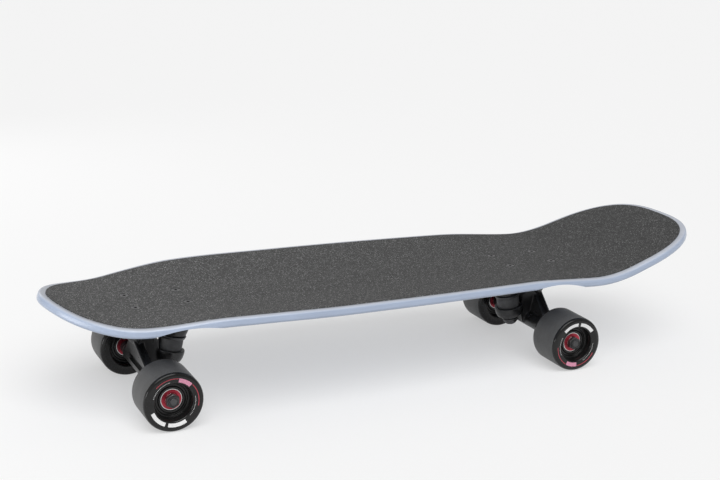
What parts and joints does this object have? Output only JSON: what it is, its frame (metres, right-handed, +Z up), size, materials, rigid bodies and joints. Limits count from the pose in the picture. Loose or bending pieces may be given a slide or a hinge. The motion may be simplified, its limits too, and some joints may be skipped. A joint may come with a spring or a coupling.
{
  "type": "cruiser skateboard",
  "caption": "Cruiser skateboard: concave deck with a kicked tail, grip sheet and rounded blue rim, on kingpin trucks that steer on bushings, with wide soft wheels.",
  "frame": {"origin": "on the floor, under the middle of the deck's length and width", "axes": "+X to the nose, +Y to the board's left, +Z up; the board stands on its four wheels"},
  "size_m": [0.7425, 0.2268, 0.1411],
  "materials": {
    "maple": "pressed maple, light blue lacquer on rim and underside",
    "grip": "black grit sheet with fine pale specks",
    "casting": "cast, semi-gloss black powder coat",
    "pad": "matte black",
    "black_steel": "black oxide",
    "bright_steel": "bright zinc",
    "bushing": "cast urethane, matte dark grey",
    "tyre": "cast urethane, matte charcoal tread",
    "core": "moulded, black",
    "bearing": "steel rings with a red shield"
  },
  "bodies": {
    "board": {"deck": "maple", "grip_tape": "grip", "front_deck_bolt_1": "black_steel", "front_deck_bolt_2": "black_steel", "front_deck_bolt_3": "black_steel", "front_deck_bolt_4": "black_steel", "rear_deck_bolt_1": "black_steel", "rear_deck_bolt_2": "black_steel", "rear_deck_bolt_3": "black_steel", "rear_deck_bolt_4": "black_steel", "front_baseplate": "casting", "front_riser_pad": "pad", "front_kingpin": "black_steel", "front_kingpin_nut": "black_steel", "front_boardside_washer": "black_steel", "front_roadside_washer": "black_steel", "front_boardside_bushing": "bushing", "front_roadside_bushing": "bushing", "front_pivot_cup": "bushing", "rear_baseplate": "casting", "rear_riser_pad": "pad", "rear_kingpin": "black_steel", "rear_kingpin_nut": "black_steel", "rear_boardside_washer": "black_steel", "rear_roadside_washer": "black_steel", "rear_boardside_bushing": "bushing", "rear_roadside_bushing": "bushing", "rear_pivot_cup": "bushing"},
    "front_truck": {"front_hanger": "casting", "front_axle": "black_steel", "front_left_inner_washer": "bright_steel", "front_left_outer_washer": "bright_steel", "front_left_axle_nut": "black_steel", "front_right_inner_washer": "bright_steel", "front_right_outer_washer": "bright_steel", "front_right_axle_nut": "black_steel"},
    "front_left_wheel": {"front_left_tyre": "tyre", "front_left_core": "core", "front_left_outer_bearing": "bearing", "front_left_inner_bearing": "bearing"},
    "front_right_wheel": {"front_right_tyre": "tyre", "front_right_core": "core", "front_right_outer_bearing": "bearing", "front_right_inner_bearing": "bearing"},
    "rear_truck": {"rear_hanger": "casting", "rear_axle": "black_steel", "rear_left_inner_washer": "bright_steel", "rear_left_outer_washer": "bright_steel", "rear_left_axle_nut": "black_steel", "rear_right_inner_washer": "bright_steel", "rear_right_outer_washer": "bright_steel", "rear_right_axle_nut": "black_steel"},
    "rear_left_wheel": {"rear_left_tyre": "tyre", "rear_left_core": "core", "rear_left_outer_bearing": "bearing", "rear_left_inner_bearing": "bearing"},
    "rear_right_wheel": {"rear_right_tyre": "tyre", "rear_right_core": "core", "rear_right_outer_bearing": "bearing", "rear_right_inner_bearing": "bearing"}
  },
  "joints": [
    {"name": "front_steer", "type": "hinge", "parent": "board", "child": "front_truck", "pos_m": [0.2413, 0, 0.043], "axis": [0.8167, 0, 0.577], "range_deg": [-16, 16], "stiffness_Nm_per_rad": 40, "deforming": ["front_boardside_bushing", "front_roadside_bushing"]},
    {"name": "front_left_wheel_spin", "type": "hinge", "parent": "front_truck", "child": "front_left_wheel", "pos_m": [0.2668, 0.08, 0.03], "axis": [0, 1, 0], "continuous": true},
    {"name": "front_right_wheel_spin", "type": "hinge", "parent": "front_truck", "child": "front_right_wheel", "pos_m": [0.2668, -0.08, 0.03], "axis": [0, 1, 0], "continuous": true},
    {"name": "rear_steer", "type": "hinge", "parent": "board", "child": "rear_truck", "pos_m": [-0.1637, 0, 0.043], "axis": [-0.8167, 0, 0.577], "range_deg": [-16, 16], "stiffness_Nm_per_rad": 40, "deforming": ["rear_boardside_bushing", "rear_roadside_bushing"]},
    {"name": "rear_left_wheel_spin", "type": "hinge", "parent": "rear_truck", "child": "rear_left_wheel", "pos_m": [-0.1892, 0.08, 0.03], "axis": [0, 1, 0], "continuous": true},
    {"name": "rear_right_wheel_spin", "type": "hinge", "parent": "rear_truck", "child": "rear_right_wheel", "pos_m": [-0.1892, -0.08, 0.03], "axis": [0, 1, 0], "continuous": true}
  ]
}
